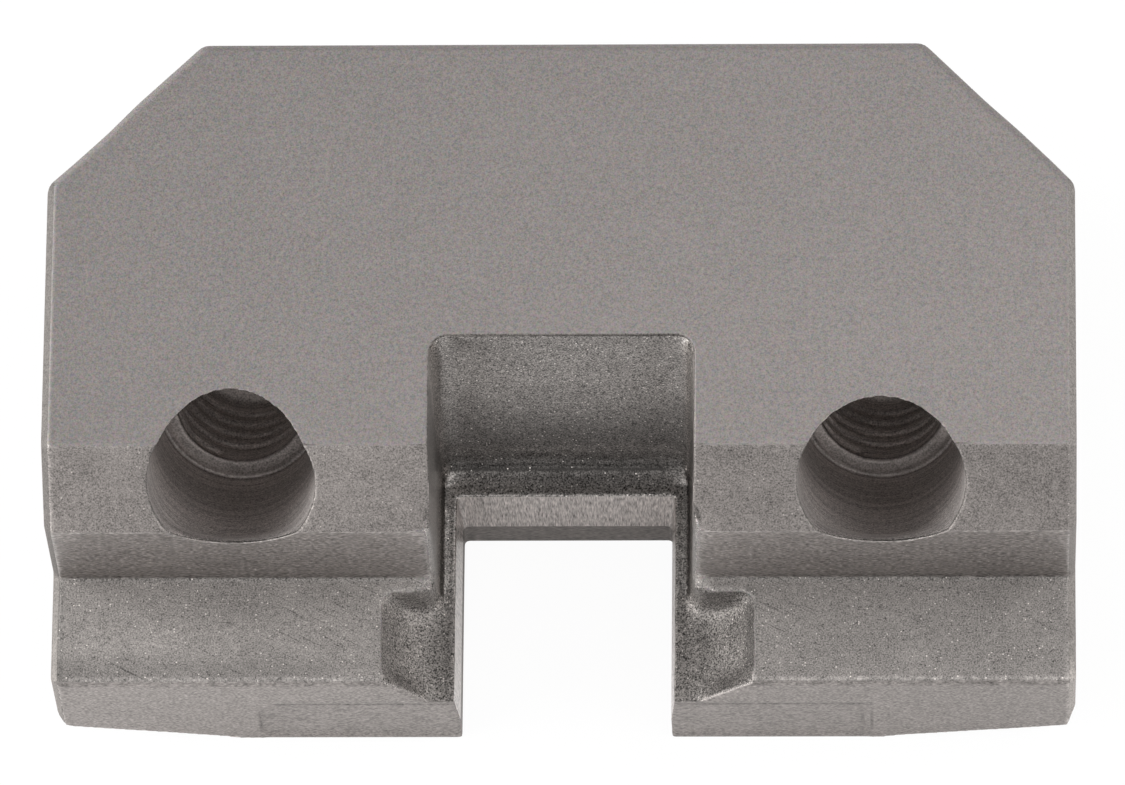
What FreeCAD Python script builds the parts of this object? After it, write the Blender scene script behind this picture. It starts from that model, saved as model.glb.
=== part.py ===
import FreeCAD, Part
import os

import Sketcher

# A nibbler die: one block of tool steel, cast to shape and ground where it works.
# It lies on its cutting face. X runs across the die, Y from the cutting front to the back,
# and Z up from the cutting face. The origin is under the middle of the block.

# The sizes, in millimetres and degrees

SIZES = [
    ("block_width", 40.0, "across the die"),
    ("block_depth", 23.9, "cutting front to back"),
    ("block_height", 14.0, "cutting face to clamped face"),
    ("ledge_height", 6.3, "front ledge above the cutting face"),
    ("wall_setback", 4.42, "cutting front to the seat wall"),
    ("wall_height", 5.07, "seat wall from the ledge to the screw slope"),
    ("slope_angle", 45.0, "screw slope from level"),
    ("corner_cut", 5.93, "45 degree cut on each back corner"),
    ("corner_round", 0.6, "radius where a corner cut meets a side or the back"),
    ("edge_break", 0.3, "45 degree break along the outlines of sides and clamped face"),
    ("front_break", 0.2, "45 degree facet between ledge and front"),
    ("pad_width", 24.2, "level part of the cutting face"),
    ("bevel_angle", 11.0, "rise of the cutting face beside that pad"),
    ("left_corner_round", 0.8, "radius of the lower left edge"),
    ("right_corner_inset", 0.3, "break of the lower right edge, across"),
    ("right_corner_rise", 1.2, "break of the lower right edge, upward"),
    ("ground_width", 24.0, "ground part of the cutting front, across"),
    ("ground_height", 4.0, "ground part of the cutting front, upward"),
    ("ground_depth", 0.05, "stock ground off the front"),
    ("pocket_width", 10.0, "slug pocket at its floor"),
    ("pocket_draft", 1.3, "lean of the pocket's sides"),
    ("pocket_floor", 4.0, "slug pocket's floor above the cutting face"),
    ("pocket_depth", 9.98, "cutting front to the foot of the pocket's back"),
    ("pocket_lean", 9.0, "lean of the pocket's back"),
    ("pocket_corner", 0.65, "radius of the pocket's upright corners"),
    ("pocket_foot", 0.45, "radius along the foot of the pocket's walls"),
    ("scoop_left", 7.1, "middle to the left scoop's outer edge on the ledge"),
    ("scoop_right", 7.5, "middle to the right scoop's outer edge on the ledge"),
    ("scoop_foot", 5.25, "middle to the foot of each scoop"),
    ("scoop_depth", 3.82, "cutting front to the end wall of each scoop"),
    ("scoop_lip", 0.55, "flat lip in front of each hollow"),
    ("scoop_sag", 0.34, "hollow of each scoop below its lip"),
    ("scoop_corner", 0.6, "radius along the end wall of each scoop"),
    ("scoop_shoulder", 0.45, "radius where the end wall turns into the pocket"),
    ("notch_width", 8.27, "punch notch, across"),
    ("notch_depth", 8.23, "punch notch, from the cutting front"),
    ("notch_corner", 0.12, "radius of the punch notch's inner corners"),
    ("land_height", 1.7, "straight land of the punch notch"),
    ("relief_side", 4.5, "relief above the land at the sides"),
    ("relief_back", 10.8, "relief above the land at the back"),
    ("hole_pitch", 25.1, "screw hole to screw hole"),
    ("hole_rise", 2.08, "lower edge of the slope to the screw hole's centre"),
    ("counterbore_width", 6.5, "diameter of each screw counterbore"),
    ("counterbore_depth", 7.6, "slope to shoulder, along the hole"),
    ("core_width", 5.0, "diameter of each thread's core"),
    ("core_length", 5.5, "threaded length below the shoulder"),
    ("drill_point", 118.0, "point angle at the bottom of each hole"),
    ("overrun", 2.0, "what a cut runs past the surface that it opens"),
]

document = FreeCAD.newDocument("nibbler_die")
sheet = document.addObject("Spreadsheet::Sheet", "sizes")
for row, (alias, value, meaning) in enumerate(SIZES, start=1):
    sheet.set(f"A{row}", meaning)
    sheet.set(f"B{row}", str(value))
    sheet.setAlias(f"B{row}", alias)
document.recompute()

# Places that several features share, as expressions of the sheet's cells

FRONT = "(-sizes.block_depth / 2)"
BACK = "(sizes.block_depth / 2)"
SIDE = "(sizes.block_width / 2)"
SEAT_WALL = f"({FRONT} + sizes.wall_setback)"
SLOPE_FOOT = "(sizes.ledge_height + sizes.wall_height)"
SLOPE_RUN = f"((sizes.block_height - {SLOPE_FOOT}) / tan(sizes.slope_angle))"
ABOVE = "(sizes.block_height + sizes.overrun)"

# How far apart two places may be and still count as one, in millimetres
NEAR = 1e-4


def now(expression):
    """The value of an expression, in millimetres or degrees."""
    return float(sheet.evalExpression(expression.replace("sizes.", "")))


def new_body(name):
    body = document.addObject("PartDesign::Body", name)
    body.Label = name
    body.Placement = FreeCAD.Placement()
    return body


# Sketches: every corner of an outline is held by two expressions

def new_sketch(body, name, role, lift="0"):
    """A sketch on one of the body's origin planes, lifted along that plane's normal."""
    plane = next(f for f in body.Origin.OriginFeatures if f.Role == role)
    sketch = body.newObject("Sketcher::SketchObject", name)
    sketch.AttachmentSupport = [(plane, "")]
    sketch.MapMode = "FlatFace"
    sketch.setExpression("AttachmentOffset.Base.z", lift)
    return sketch


def hold(sketch, curve, end, across, up):
    """Holds an end of a curve at a distance across and up from the origin."""
    for kind, axis, expression in (("DistanceX", -2, across), ("DistanceY", -1, up)):
        if expression == "0":
            sketch.addConstraint(Sketcher.Constraint("PointOnObject", curve, end, axis))
            continue
        made = Sketcher.Constraint(kind, -1, 1, curve, end, now(expression))
        index = sketch.addConstraint(made)
        sketch.setExpression(f"Constraints[{index}]", expression)


def outline(sketch, corners, bulges=None, hollows=None):
    """A closed outline, drawn anticlockwise. The run that leaves a corner named in bulges
    is an arc outward, and in hollows an arc inward, with the radius given there."""
    radii = {**(bulges or {}), **(hollows or {})}
    points = [FreeCAD.Vector(now(a), now(b), 0) for a, b in corners]
    first = sketch.GeometryCount
    for number, here in enumerate(points):
        after = points[(number + 1) % len(points)]
        curve = Part.LineSegment(here, after)
        if number in radii:
            radius = now(radii[number])
            half = (after - here) / 2
            sag = radius - (radius ** 2 - half.Length ** 2) ** 0.5
            if number in (hollows or {}):
                sag = -sag
            outward = FreeCAD.Vector(half.y, -half.x, 0).normalize()
            curve = Part.Arc(here, here + half + outward * sag, after)
        sketch.addGeometry(curve, False)
    # An arc's ends count anticlockwise, so on an inward arc they are the other way round.
    starts = [2 if number in (hollows or {}) else 1 for number in range(len(points))]
    for number, start in enumerate(starts):
        after = (number + 1) % len(points)
        sketch.addConstraint(Sketcher.Constraint(
            "Coincident", first + number, 3 - start, first + after, starts[after]))
    for number, (across, up) in enumerate(corners):
        hold(sketch, first + number, starts[number], across, up)
    for number, radius in radii.items():
        made = Sketcher.Constraint("Radius", first + number, now(radius))
        index = sketch.addConstraint(made)
        sketch.setExpression(f"Constraints[{index}]", radius)
    document.recompute()


# Features: sizes given as expressions are bound, other settings are set as they are

def add(body, kind, name, **settings):
    """A feature of a body, with its settings."""
    feature = body.newObject(kind, name)
    for key, value in settings.items():
        if isinstance(value, str) and "sizes." in value:
            feature.setExpression(key, value)
        else:
            setattr(feature, key, value)
    document.recompute()
    return feature


def cut(body, kind, name, **settings):
    """A feature that has to take something off the body."""
    before = body.Shape.Volume
    feature = add(body, kind, name, **settings)
    if before - body.Shape.Volume < NEAR:
        raise RuntimeError(f"{name} takes nothing off")
    return feature


def dress(body, kind, name, test, **settings):
    """A fillet or chamfer on the edges whose two ends pass a test."""
    names = []
    for number, edge in enumerate(body.Shape.Edges, start=1):
        ends = [vertex.Point for vertex in edge.Vertexes]
        if len(ends) == 2 and test(*ends):
            names.append(f"Edge{number}")
    if not names:
        raise RuntimeError(f"{name} finds no edge")
    return add(body, kind, name, Base=(body.Tip, names), **settings)


def same(*values):
    return max(values) - min(values) < NEAR


def upright(one, other):
    return same(one.x, other.x) and same(one.y, other.y)


# The block: its side profile, across the whole width

die = new_body("die_body")
profile = new_sketch(die, "side_profile", "YZ_Plane")
outline(profile, [
    (FRONT, "0"),
    (BACK, "0"),
    (BACK, "sizes.block_height"),
    (f"{SEAT_WALL} + {SLOPE_RUN}", "sizes.block_height"),
    (SEAT_WALL, SLOPE_FOOT),
    (SEAT_WALL, "sizes.ledge_height"),
    (FRONT, "sizes.ledge_height"),
])
add(die, "PartDesign::Pad", "block", Profile=profile, Midplane=True,
    Length="sizes.block_width")

# The back corners, cut off at 45 degrees

dress(die, "PartDesign::Chamfer", "corner_cuts",
      lambda one, other: upright(one, other) and same(one.y, now(BACK)),
      Size="sizes.corner_cut")

# Rounds where the corner cuts meet the sides and the back

dress(die, "PartDesign::Fillet", "corner_rounds",
      lambda one, other: upright(one, other) and one.y > now(SEAT_WALL) + NEAR,
      Radius="sizes.corner_round")


# The edge breaks, along the outline of both sides and around the clamped face

def on_side_outline(one, other):
    along_side = same(one.x, other.x) and same(abs(one.x), now(SIDE))
    at_bottom = same(one.z, other.z, 0)
    at_corner_round = upright(one, other) and one.y > now(SEAT_WALL) + NEAR
    return along_side and not at_bottom and not at_corner_round


dress(die, "PartDesign::Chamfer", "edge_breaks", on_side_outline, Size="sizes.edge_break")

# The facet between the ledge and the front

facet = new_sketch(die, "facet_outline", "YZ_Plane")
outline(facet, [
    (f"{FRONT} - sizes.front_break", "sizes.ledge_height - 2 * sizes.front_break"),
    (f"{FRONT} + 2 * sizes.front_break", "sizes.ledge_height + sizes.front_break"),
    (f"{FRONT} - sizes.front_break", "sizes.ledge_height + sizes.front_break"),
])
cut(die, "PartDesign::Pocket", "front_facet", Profile=facet, Midplane=True,
    Length="sizes.block_width + sizes.overrun")

# The cutting face: level in the middle, rising to both sides, with the lower side edges
# rounded on the left and broken steeply on the right

PAD_EDGE = "(sizes.pad_width / 2)"
BEYOND_SIDE = f"({SIDE} + sizes.overrun)"
ROUND = "sizes.left_corner_round"
ROUND_SETBACK = f"({ROUND} * tan((90 - sizes.bevel_angle) / 2))"
BREAK_FOOT = f"({SIDE} - sizes.right_corner_inset)"


def bevel_height(reach):
    """The height of the bevel's plane at a reach from the middle."""
    return f"(({reach} - {PAD_EDGE}) * tan(sizes.bevel_angle))"


bevels = new_sketch(die, "bevel_profile", "XZ_Plane")
outline(bevels, [
    (PAD_EDGE, "0"),
    (PAD_EDGE, "-sizes.overrun"),
    (BEYOND_SIDE, "-sizes.overrun"),
    (BEYOND_SIDE, f"{bevel_height(BREAK_FOOT)} + sizes.right_corner_rise"
                  f" * (1 + sizes.overrun / sizes.right_corner_inset)"),
    (BREAK_FOOT, bevel_height(BREAK_FOOT)),
])
outline(bevels, [
    (f"-{PAD_EDGE}", "0"),
    (f"-{SIDE} + {ROUND_SETBACK} * cos(sizes.bevel_angle)",
     f"{bevel_height(SIDE)} - {ROUND_SETBACK} * sin(sizes.bevel_angle)"),
    (f"-{SIDE}", f"{bevel_height(SIDE)} + {ROUND_SETBACK}"),
    (f"-{BEYOND_SIDE}", f"{bevel_height(SIDE)} + {ROUND_SETBACK}"),
    (f"-{BEYOND_SIDE}", "-sizes.overrun"),
    (f"-{PAD_EDGE}", "-sizes.overrun"),
], hollows={1: ROUND})
cut(die, "PartDesign::Pocket", "bevels", Profile=bevels, Midplane=True,
    Length="2 * sizes.block_depth")

# The ground part of the cutting front

ground = new_sketch(die, "ground_profile", "XZ_Plane", BACK)
outline(ground, [
    ("-sizes.ground_width / 2", "-sizes.overrun"),
    ("sizes.ground_width / 2", "-sizes.overrun"),
    ("sizes.ground_width / 2", "sizes.ground_height"),
    ("-sizes.ground_width / 2", "sizes.ground_height"),
])
cut(die, "PartDesign::Pocket", "ground_front", Profile=ground, Length="sizes.ground_depth")

# What was cast or eroded out of the block is made as cores, and taken off it

def prism(body, name, corners, bulges=None):
    """A prism along Y through the whole block, from its outline seen from the front."""
    sketch = new_sketch(body, f"{name}_outline", "XZ_Plane", f"{BACK} + sizes.overrun")
    outline(sketch, corners, bulges)
    add(body, "PartDesign::Pad", name, Profile=sketch, Reversed=True,
        Length="sizes.block_depth + 2 * sizes.overrun")


def trim(body, name, corners):
    """Takes an outline, seen from the side, off a core across its whole width."""
    sketch = new_sketch(body, f"{name}_outline", "YZ_Plane")
    outline(sketch, corners)
    cut(body, "PartDesign::Pocket", name, Profile=sketch, Midplane=True,
        Length="sizes.block_width")


def combine(body, name, how, other):
    """Joins another body to this one by a boolean: Cut or Common."""
    before = body.Shape.Volume
    joined = body.newObject("PartDesign::Boolean", name)
    joined.setObjects([other])
    joined.Type = how
    document.recompute()
    if before - body.Shape.Volume < NEAR:
        raise RuntimeError(f"{name} takes nothing off")


# The slug pocket: open at the top and the front, its back leaning and its sides drafted

POCKET_TOP = f"({ABOVE} - sizes.pocket_floor)"
POCKET_HALF = "(sizes.pocket_width / 2)"
POCKET_MOUTH = f"({POCKET_HALF} + {POCKET_TOP} * tan(sizes.pocket_draft))"
POCKET_BACK = f"({FRONT} + sizes.pocket_depth)"

pocket = new_body("pocket_core")
prism(pocket, "pocket_sides", [
    (f"-{POCKET_HALF}", "sizes.pocket_floor"),
    (POCKET_HALF, "sizes.pocket_floor"),
    (POCKET_MOUTH, ABOVE),
    (f"-{POCKET_MOUTH}", ABOVE),
])
trim(pocket, "pocket_back", [
    (POCKET_BACK, "sizes.pocket_floor"),
    (f"{BACK} + 2 * sizes.overrun", "sizes.pocket_floor"),
    (f"{BACK} + 2 * sizes.overrun", ABOVE),
    (f"{POCKET_BACK} + {POCKET_TOP} * tan(sizes.pocket_lean)", ABOVE),
])


def at_back_corner(depth):
    """A test for the edges that rise at the back corners of a core."""
    return lambda one, other: (
        min(one.y, other.y) > now(f"{FRONT} + {depth}") - NEAR and one.x * other.x > 0
        and not same(one.z, other.z)
    )


def at_pocket_foot(one, other):
    level = same(one.z, other.z, now("sizes.pocket_floor"))
    return level and max(one.y, other.y) > now(FRONT)


dress(pocket, "PartDesign::Fillet", "pocket_corners", at_back_corner("sizes.pocket_depth"),
      Radius="sizes.pocket_corner")
dress(pocket, "PartDesign::Fillet", "pocket_foot_round", at_pocket_foot,
      Radius="sizes.pocket_foot")
combine(die, "slug_pocket", "Cut", pocket)

# The scoops beside the pocket: a flat lip at the front, and a hollow behind it

SCOOP_WALL = f"({FRONT} + sizes.scoop_depth)"
SCOOP_BELOW = "(sizes.ledge_height - sizes.pocket_floor)"


def scoop_radius(reach):
    """The radius of a hollow, from its chord and its sag."""
    chord_squared = f"(({reach} - sizes.scoop_foot) ^ 2 + {SCOOP_BELOW} ^ 2)"
    return f"({chord_squared} / 4 + sizes.scoop_sag ^ 2) / (2 * sizes.scoop_sag)"


scoop_corners = [
    ("-sizes.scoop_left", ABOVE),
    ("-sizes.scoop_left", "sizes.ledge_height"),
    ("-sizes.scoop_foot", "sizes.pocket_floor"),
    ("sizes.scoop_foot", "sizes.pocket_floor"),
    ("sizes.scoop_right", "sizes.ledge_height"),
    ("sizes.scoop_right", ABOVE),
]
lip = new_sketch(die, "lip_outline", "XZ_Plane", BACK)
outline(lip, scoop_corners)
cut(die, "PartDesign::Pocket", "scoop_lips", Profile=lip, Length="sizes.scoop_lip")

hollow = new_body("hollow_core")
prism(hollow, "hollow", scoop_corners,
      {1: scoop_radius("sizes.scoop_left"), 3: scoop_radius("sizes.scoop_right")})

scoops = new_body("scoop_core")
plan = new_sketch(scoops, "scoop_plan", "XY_Plane", "sizes.pocket_floor")
outline(plan, [
    ("-sizes.scoop_left", f"{FRONT} + sizes.scoop_lip"),
    ("sizes.scoop_right", f"{FRONT} + sizes.scoop_lip"),
    ("sizes.scoop_right", SCOOP_WALL),
    (POCKET_HALF, SCOOP_WALL),
    (POCKET_HALF, f"{SCOOP_WALL} + 2 * sizes.scoop_shoulder"),
    (f"-{POCKET_HALF}", f"{SCOOP_WALL} + 2 * sizes.scoop_shoulder"),
    (f"-{POCKET_HALF}", SCOOP_WALL),
    ("-sizes.scoop_left", SCOOP_WALL),
])
add(scoops, "PartDesign::Pad", "scoop_walls", Profile=plan, Length=POCKET_TOP)


def at_scoop_corner(one, other):
    outside = abs(one.x) > now(POCKET_HALF) + NEAR
    return upright(one, other) and same(one.y, now(SCOOP_WALL)) and outside


def at_scoop_shoulder(one, other):
    inside = abs(one.x) < now(POCKET_HALF) + NEAR
    return upright(one, other) and same(one.y, now(SCOOP_WALL)) and inside


dress(scoops, "PartDesign::Fillet", "scoop_corners", at_scoop_corner,
      Radius="sizes.scoop_corner")
dress(scoops, "PartDesign::Fillet", "scoop_shoulders", at_scoop_shoulder,
      Radius="sizes.scoop_shoulder")
combine(scoops, "scoop_hollows", "Common", hollow)
combine(die, "scoops", "Cut", scoops)

# The punch notch: a straight land at the cutting face, and a lofted relief above it

NOTCH_TOP = "(sizes.pocket_floor + sizes.overrun)"


def notch_outline(name, height):
    """The notch's outline at a height, its inner corners round."""
    above_land = f"({height} - sizes.land_height)"
    half = f"(sizes.notch_width / 2 + {above_land} * tan(sizes.relief_side))"
    back = f"({FRONT} + sizes.notch_depth + {above_land} * tan(sizes.relief_back))"
    sketch = new_sketch(die, name, "XY_Plane", height)
    outline(sketch, [
        (f"-{half}", f"{FRONT} - sizes.overrun"),
        (half, f"{FRONT} - sizes.overrun"),
        (half, f"{back} - sizes.notch_corner"),
        (f"{half} - sizes.notch_corner", back),
        (f"-{half} + sizes.notch_corner", back),
        (f"-{half}", f"{back} - sizes.notch_corner"),
    ], {2: "sizes.notch_corner", 4: "sizes.notch_corner"})
    return sketch


land_outline = notch_outline("land_outline", "sizes.land_height")
relief_outline = notch_outline("relief_outline", NOTCH_TOP)
cut(die, "PartDesign::Pocket", "notch_land", Profile=land_outline,
    Length="sizes.land_height + sizes.overrun")
cut(die, "PartDesign::SubtractiveLoft", "notch_relief", Profile=land_outline,
    Sections=[relief_outline], Ruled=True)

# The screw holes, square to the slope: a counterbore, then a blind thread's core

COUNTERBORE = "(sizes.counterbore_width / 2)"
CORE = "(sizes.core_width / 2)"
THREAD_END = "(sizes.counterbore_depth + sizes.core_length)"

hole = new_sketch(die, "hole_outline", "YZ_Plane", "sizes.hole_pitch / 2")
hole.setExpression("AttachmentOffset.Base.x",
                   f"{SEAT_WALL} + sizes.hole_rise * cos(sizes.slope_angle)")
hole.setExpression("AttachmentOffset.Base.y",
                   f"{SLOPE_FOOT} + sizes.hole_rise * sin(sizes.slope_angle)")
hole.setExpression("AttachmentOffset.Rotation.Angle", "90 + sizes.slope_angle")
outline(hole, [
    (COUNTERBORE, "0"),
    (COUNTERBORE, COUNTERBORE),
    ("-sizes.counterbore_depth", COUNTERBORE),
    ("-sizes.counterbore_depth", CORE),
    (f"-{THREAD_END}", CORE),
    (f"-{THREAD_END} - {CORE} / tan(sizes.drill_point / 2)", "0"),
])
bore = cut(die, "PartDesign::Groove", "screw_hole", Profile=hole,
           ReferenceAxis=(hole, ["H_Axis"]), Angle=360.0)
side_plane = next(f for f in die.Origin.OriginFeatures if f.Role == "YZ_Plane")
other_hole = add(die, "PartDesign::Mirrored", "other_screw_hole", Originals=[bore],
                 MirrorPlane=(side_plane, [""]))
die.Tip = other_hole
document.recompute()

# The hand-over: every object has to be sound, and then the die is written out

SUB_PARTS = [die]

for item in document.Objects:
    if {"Invalid", "Error"} & set(item.State):
        raise RuntimeError(f"{item.Label} failed: {item.State}")
    if item.isDerivedFrom("Sketcher::SketchObject") and not item.FullyConstrained:
        raise RuntimeError(f"{item.Label} isn't fully held by its sizes")

os.makedirs("parts", exist_ok=True)
for sub_part in SUB_PARTS:
    shape = sub_part.Shape
    if shape.isNull() or not shape.isValid() or len(shape.Solids) != 1:
        raise RuntimeError(f"{sub_part.Label} isn't one sound solid")
    shape.exportStep(os.path.join("parts", f"{sub_part.Label}.step"))
    print(f"{sub_part.Label}: {shape.Volume:.1f} cubic mm, {len(shape.Faces)} faces")
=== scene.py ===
# %% [markdown]
# # A nibbler die
#
# The part is the lower cutter of a sheet-metal nibbler: one block of hardened tool steel, about 40 mm
# wide. A punch passes through its square notch, and each little slug that it cuts leaves through the
# pocket above the notch. Two counterbored, tapped holes run down into the block from its slope.
# The construction model gives the true shape. This script gives it the skin that the photograph shows:
# cast and blasted hollows, ground and lapped faces, worn edges and a real screw thread.

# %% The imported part
import math

import bmesh
import bpy
import numpy as np
from mathutils import Matrix, Vector


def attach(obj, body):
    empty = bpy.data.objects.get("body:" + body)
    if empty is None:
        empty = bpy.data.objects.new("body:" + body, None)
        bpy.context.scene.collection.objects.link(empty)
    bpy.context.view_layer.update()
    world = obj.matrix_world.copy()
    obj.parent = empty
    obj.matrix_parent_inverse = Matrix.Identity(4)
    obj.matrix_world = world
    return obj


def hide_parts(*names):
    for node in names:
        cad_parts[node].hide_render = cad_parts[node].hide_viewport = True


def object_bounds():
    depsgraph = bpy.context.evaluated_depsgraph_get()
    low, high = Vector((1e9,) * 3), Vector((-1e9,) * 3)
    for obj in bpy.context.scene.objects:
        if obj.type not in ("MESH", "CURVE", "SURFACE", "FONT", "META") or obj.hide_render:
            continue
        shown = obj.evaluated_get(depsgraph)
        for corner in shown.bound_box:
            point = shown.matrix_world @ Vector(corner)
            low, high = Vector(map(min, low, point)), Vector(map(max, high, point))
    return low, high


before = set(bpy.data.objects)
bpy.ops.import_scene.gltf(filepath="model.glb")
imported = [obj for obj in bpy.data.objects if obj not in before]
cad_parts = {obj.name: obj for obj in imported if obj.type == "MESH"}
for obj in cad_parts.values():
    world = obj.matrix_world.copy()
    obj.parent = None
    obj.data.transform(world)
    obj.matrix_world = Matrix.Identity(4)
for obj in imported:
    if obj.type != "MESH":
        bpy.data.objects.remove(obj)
cad_low, cad_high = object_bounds()
MM = 0.001  # the scene is in metres, and every size below is written in millimetres
print("packed part, mm:", [round(v / MM, 2) for v in cad_high - cad_low])

# %% [markdown]
# ## The camera
#
# A long lens far away keeps the block's edges nearly parallel, as they are in the photograph. Its place
# is worked out from three angles, a distance and a point to aim at, so that it doesn't depend on a camera
# that was pushed about by hand. They were fitted to the corners of the block in the photograph.

# %% Camera
scene = bpy.context.scene
scene.view_settings.view_transform = "Standard"

# the turn about the part, the angle above the table and the tilt of the picture, from degrees
AZIMUTH, ELEVATION, TILT = (math.radians(v) for v in (5.203, 68.902, -5.01))
AIM = Vector((-0.08, -0.072, 7.0)) * MM
DISTANCE = 464.259 * MM
PHOTO_WIDTH = 1125  # pixels
FOCAL_LENGTH = 11827.6  # pixels
SENSOR = 36  # mm, a full-frame camera

towards = Vector((math.sin(AZIMUTH) * math.cos(ELEVATION),
                  -math.cos(AZIMUTH) * math.cos(ELEVATION), math.sin(ELEVATION)))
level = Vector((math.cos(AZIMUTH), math.sin(AZIMUTH), 0))
upright = towards.cross(level)
across = level * math.cos(TILT) + upright * math.sin(TILT)
upward = upright * math.cos(TILT) - level * math.sin(TILT)

camera = bpy.data.objects.new("camera", bpy.data.cameras.new("camera"))
scene.collection.objects.link(camera)
turn = Matrix((across, upward, towards)).transposed().to_quaternion()
camera.matrix_world = Matrix.LocRotScale(AIM + towards * DISTANCE, turn, None)
camera.data.sensor_width = SENSOR
camera.data.lens = FOCAL_LENGTH / PHOTO_WIDTH * SENSOR
camera.data.clip_start, camera.data.clip_end = 0.01, 10
scene.camera = camera
print("lens, mm:", round(camera.data.lens, 1))

# %% [markdown]
# ## Small helpers
#
# Every material and every node tree below is built by one function that adds a node. A second one turns
# a colour as a painter reads it, a hex value in sRGB, into the linear numbers that the renderer uses.

# %% One node, and one colour
MATH, VECTOR_MATH = "ShaderNodeMath", "ShaderNodeVectorMath"  # the kinds of node that are used most


def add(tree, kind, values=None, **settings):
    """Adds one node. values holds its inputs by name or number: a number, an output, or a node to link."""
    node = tree.nodes.new(kind)
    for name, value in settings.items():
        setattr(node, name, value)
    for key, value in (values or {}).items():
        if isinstance(value, bpy.types.Node):
            value = value.outputs[0]
        if isinstance(value, bpy.types.NodeSocket):
            tree.links.new(value, node.inputs[key])
        else:
            node.inputs[key].default_value = value
    return node


def linear(hex_colour):
    """An sRGB hex colour as linear red, green, blue and alpha."""
    parts = [int(hex_colour[i:i + 2], 16) / 255 for i in (1, 3, 5)]
    return [v / 12.92 if v <= 0.04045 else ((v + 0.055) / 1.055) ** 2.4 for v in parts] + [1]


print("mid grey in linear numbers:", [round(v, 3) for v in linear("#808080")])

# %% [markdown]
# ## Table and room
#
# The die lies on a white table in a white room. Steel shows what stands around it, so the table matters
# as much as the lamps: the front face is bright because it mirrors the table. The table is really lit and
# takes the die's shadow. A share of plain white is laid over it by the kind of ray that meets it: nearly
# all for the camera, so that the background is white, and a little for the rays that steel mirrors.

# %% White table and room
TABLE_SIZE = 1.2  # m
SEEN_STRAIGHT = 0.95  # the share of plain white that the camera sees, the rest keeps the shadow
SEEN_IN_STEEL = 0.15  # and the share that steel mirrors
FILL = 0.1  # the room's own light
WHITE = (1, 1, 1, 1)


def white_share(tree):
    """How much of a surround shows as plain white, by the kind of ray that meets it."""
    path = add(tree, "ShaderNodeLightPath")
    bent = add(tree, MATH, {
        0: path.outputs["Is Glossy Ray"], 1: path.outputs["Is Transmission Ray"]}, operation="MAXIMUM")
    bent = add(tree, MATH, {0: bent, 1: SEEN_IN_STEEL}, operation="MULTIPLY")
    return add(tree, MATH, {
        0: path.outputs["Is Camera Ray"], 1: SEEN_STRAIGHT, 2: bent}, operation="MULTIPLY_ADD")


room = bpy.data.worlds.new("white_room")
scene.world = room
room.use_nodes = True
sky = room.node_tree.nodes["Background"]
sky.inputs["Color"].default_value = WHITE
strength = add(room.node_tree, MATH, {0: white_share(room.node_tree), 1: FILL})
room.node_tree.links.new(strength.outputs[0], sky.inputs["Strength"])

table_mesh = bpy.data.meshes.new("table")
half = TABLE_SIZE / 2
corners = [(-half, -half, 0), (half, -half, 0), (half, half, 0), (-half, half, 0)]
table_mesh.from_pydata(corners, [], [(0, 1, 2, 3)])
table = bpy.data.objects.new("table", table_mesh)
scene.collection.objects.link(table)
paper = bpy.data.materials.new("white_paper")
paper.use_nodes = True
paper.node_tree.nodes.clear()
diffuse = add(paper.node_tree, "ShaderNodeBsdfDiffuse", {"Color": linear("#F2F2F2")})
white = add(paper.node_tree, "ShaderNodeEmission", {"Color": WHITE, "Strength": 1.0})
mixed = add(paper.node_tree, "ShaderNodeMixShader", {0: white_share(paper.node_tree), 1: diffuse, 2: white})
add(paper.node_tree, "ShaderNodeOutputMaterial", {"Surface": mixed})
table_mesh.materials.append(paper)
print("white table, m:", TABLE_SIZE, "and plain white:", SEEN_STRAIGHT)

# %% [markdown]
# ## The block, ready to be worked
#
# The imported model's mesh is loose triangles, so a copy of it is merged into one closed skin first. The
# packed object itself is left as it is.

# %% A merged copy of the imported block
SAME_POINT = 0.002  # mm

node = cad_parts["die_body"]
block = bpy.data.objects.new("block", node.data.copy())
scene.collection.objects.link(block)
shell = bmesh.new()
shell.from_mesh(block.data)
bmesh.ops.remove_doubles(shell, verts=shell.verts, dist=SAME_POINT * MM)
open_edges = sum(not e.is_manifold for e in shell.edges)
print("merged skin:", len(shell.faces), "triangles, open edges:", open_edges)
shell.to_mesh(block.data)
shell.free()

# %% [markdown]
# ## Trees of Geometry Nodes
#
# Shapes that follow a rule are made by Geometry Nodes, in trees with named inputs, so that every size can
# be changed in one place. One helper starts a tree, and one runs it and keeps the mesh.

# %% A tree with named inputs, and the mesh that it makes
def new_tree(name, kind, inputs, outputs):
    """A node tree, and the sockets of its named inputs and outputs."""
    tree = bpy.data.node_groups.new(name, kind)
    for label, socket_kind in outputs:
        tree.interface.new_socket(label, in_out="OUTPUT", socket_type="NodeSocket" + socket_kind)
    for label, socket_kind, value in inputs:
        socket = tree.interface.new_socket(label, in_out="INPUT", socket_type="NodeSocket" + socket_kind)
        if value is not None:
            socket.default_value = value
    return tree, add(tree, "NodeGroupInput").outputs, add(tree, "NodeGroupOutput").inputs


def worked(piece):
    """The piece's mesh with its modifiers worked in."""
    mesh = bpy.data.meshes.new_from_object(piece.evaluated_get(bpy.context.evaluated_depsgraph_get()))
    piece.modifiers.clear()
    return mesh


def made_by(tree, name, inputs, mesh=None):
    """Runs a Geometry Nodes tree on a mesh, or on nothing, and gives the result as a plain mesh object."""
    piece = bpy.data.objects.new(name, mesh or bpy.data.meshes.new(name))
    scene.collection.objects.link(piece)
    work = piece.modifiers.new(name, "NODES")
    work.node_group = tree
    for item in tree.interface.items_tree:
        if item.in_out == "INPUT" and item.name in inputs:
            work[item.identifier] = inputs[item.name]
    piece.data = worked(piece)
    return piece


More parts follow.
